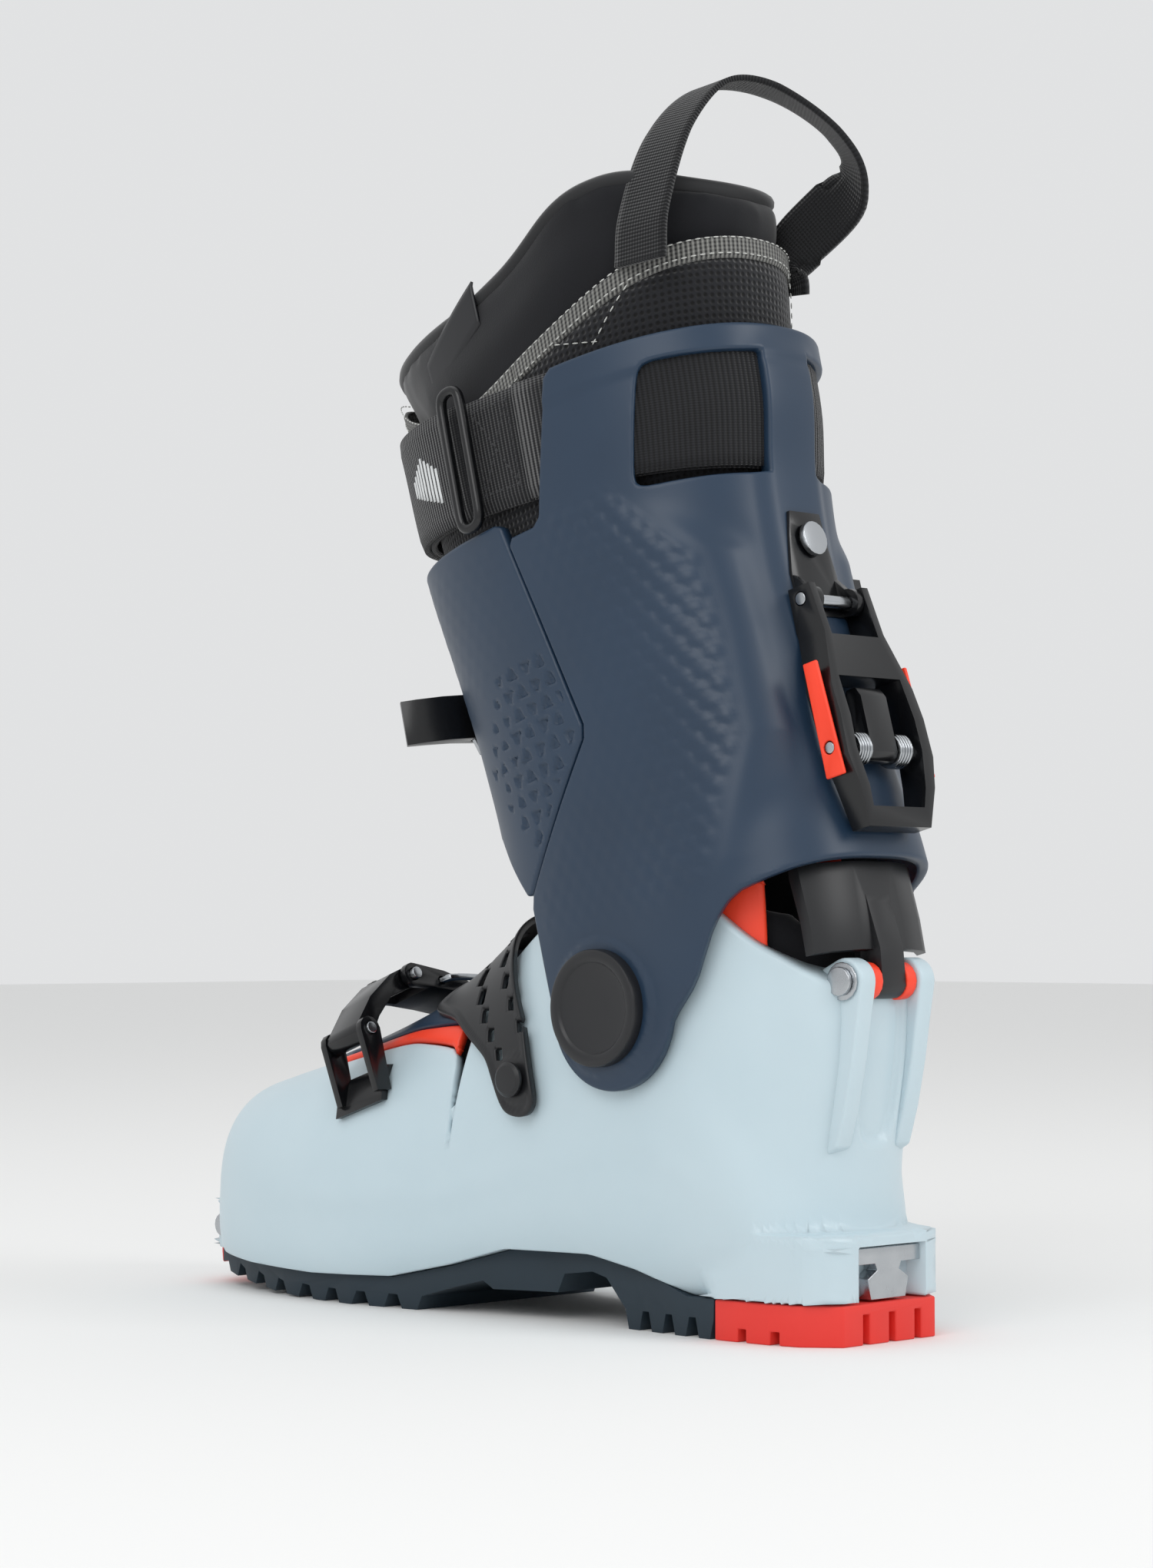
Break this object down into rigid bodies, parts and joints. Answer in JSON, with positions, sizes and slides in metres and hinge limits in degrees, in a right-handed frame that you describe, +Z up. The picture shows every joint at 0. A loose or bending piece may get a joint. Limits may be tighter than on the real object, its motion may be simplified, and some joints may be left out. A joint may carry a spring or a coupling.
{
  "type": "alpine touring boot",
  "caption": "Alpine touring boot: rigid lower shell with treaded sole, hinged cuff with ski-walk lever, buckles, power strap and removable foam liner.",
  "frame": {"origin": "middle of the flat heel tread, on the ground", "axes": "+X towards the toe, +Y to the inner side of the right foot, +Z up"},
  "size_m": [0.2939, 0.1099, 0.3924],
  "materials": {
    "cuff_plastic": "satin",
    "webbing": "matte",
    "black_plastic": "satin",
    "liner_fabric": "matte",
    "steel": "satin",
    "orange_plastic": "satin",
    "sole_rubber": "matte",
    "heel_rubber": "matte",
    "shell_plastic": "satin",
    "board_plastic": "matte"
  },
  "bodies": {
    "shell": {"outsole": "sole_rubber", "heel_tread": "heel_rubber", "toe_tread": "heel_rubber", "lower_shell": "shell_plastic", "ankle_gaiter": "orange_plastic", "instep_flap": "cuff_plastic", "throat_seal": "orange_plastic", "heel_insert": "steel", "toe_insert_inner": "steel", "toe_insert_outer": "steel", "boot_board": "board_plastic", "liner_foot": "liner_fabric", "heel_axle": "steel", "axle_washer_inner": "steel", "axle_bush_inner": "orange_plastic", "axle_washer_outer": "steel", "axle_bush_outer": "orange_plastic", "pivot_bolt_inner": "steel", "pivot_cap_inner": "black_plastic", "pivot_bolt_outer": "steel", "pivot_cap_outer": "black_plastic", "forefoot_arm_pin": "steel", "forefoot_bracket": "black_plastic", "forefoot_rack": "black_plastic", "instep_strap": "black_plastic", "strap_rivet": "black_plastic", "instep_lever_pin": "steel", "instep_base": "black_plastic"},
    "cuff": {"cuff": "cuff_plastic", "cuff_front_panel": "cuff_plastic", "power_strap": "webbing", "strap_ring": "black_plastic", "liner_collar": "liner_fabric", "liner_tongue": "liner_fabric", "pull_loop": "webbing", "lever_bracket": "black_plastic", "bracket_screw": "steel", "lever_pin": "steel", "cuff_buckle_base": "black_plastic", "cuff_lever_pin": "steel", "cuff_rack": "black_plastic"},
    "ski_walk_link": {"walk_link": "black_plastic"},
    "lever": {"lever_frame": "black_plastic", "roller_pin": "steel", "lever_inlay_inner": "orange_plastic", "lever_inlay_outer": "orange_plastic", "spring_roller_inner": "steel", "spring_roller_outer": "steel"},
    "release_arm": {"release_arm": "black_plastic"},
    "forefoot_arm": {"forefoot_arm": "black_plastic", "forefoot_lever_pin": "steel"},
    "forefoot_lever": {"forefoot_lever": "black_plastic"},
    "forefoot_bail": {"forefoot_bail": "steel"},
    "instep_lever": {"instep_lever": "black_plastic"},
    "cuff_lever": {"cuff_lever": "black_plastic"},
    "cuff_bail": {"cuff_bail": "steel"}
  },
  "joints": [
    {"name": "cuff_pivot", "type": "hinge", "parent": "shell", "child": "cuff", "pos_m": [0.0545, 0, 0.099], "axis": [0, 1, 0], "range_deg": [-15, 15]},
    {"name": "link_pivot", "type": "hinge", "parent": "shell", "child": "ski_walk_link", "pos_m": [-0.0165, 0, 0.1075], "axis": [0, 1, 0], "range_deg": [-4, 4]},
    {"name": "lever_hinge", "type": "hinge", "parent": "cuff", "child": "lever", "pos_m": [0.0032, 0, 0.2231], "axis": [0, 1, 0], "range_deg": [0, 110]},
    {"name": "arm_hinge", "type": "hinge", "parent": "lever", "child": "release_arm", "pos_m": [-0.01428, 0, 0.17696], "axis": [0, 1, 0], "range_deg": [-33, 0]},
    {"name": "forefoot_arm_hinge", "type": "hinge", "parent": "shell", "child": "forefoot_arm", "pos_m": [0.17383, 0.0438, 0.08729], "axis": [0.9426, 0, -0.3338], "range_deg": [-60, 0]},
    {"name": "forefoot_lever_hinge", "type": "hinge", "parent": "forefoot_arm", "child": "forefoot_lever", "pos_m": [0.18001, 0.0188, 0.10473], "axis": [0.9426, 0, -0.3338], "range_deg": [-110, 0]},
    {"name": "forefoot_bail_hinge", "type": "hinge", "parent": "forefoot_lever", "child": "forefoot_bail", "pos_m": [0.17921, 0.0068, 0.10246], "axis": [0.9426, 0, -0.3338], "range_deg": [0, 44]},
    {"name": "instep_lever_hinge", "type": "hinge", "parent": "shell", "child": "instep_lever", "pos_m": [0.12891, -0.0425, 0.10421], "axis": [0.829, 0, -0.5592], "range_deg": [0, 120]},
    {"name": "cuff_lever_hinge", "type": "hinge", "parent": "cuff", "child": "cuff_lever", "pos_m": [0.15437, -0.004, 0.19365], "axis": [0.2419, 0, 0.9703], "range_deg": [-110, 0]},
    {"name": "cuff_bail_hinge", "type": "hinge", "parent": "cuff_lever", "child": "cuff_bail", "pos_m": [0.15475, 0.007, 0.19356], "axis": [0.2419, 0, 0.9703], "range_deg": [0, 132]}
  ],
  "couplings": [
    {"joint": "link_pivot", "follows": "cuff_pivot", "ratio": 0.2},
    {"joint": "arm_hinge", "follows": "lever_hinge", "ratio": -0.3},
    {"joint": "forefoot_bail_hinge", "follows": "forefoot_lever_hinge", "ratio": -0.4},
    {"joint": "cuff_bail_hinge", "follows": "cuff_lever_hinge", "ratio": -1.2}
  ]
}
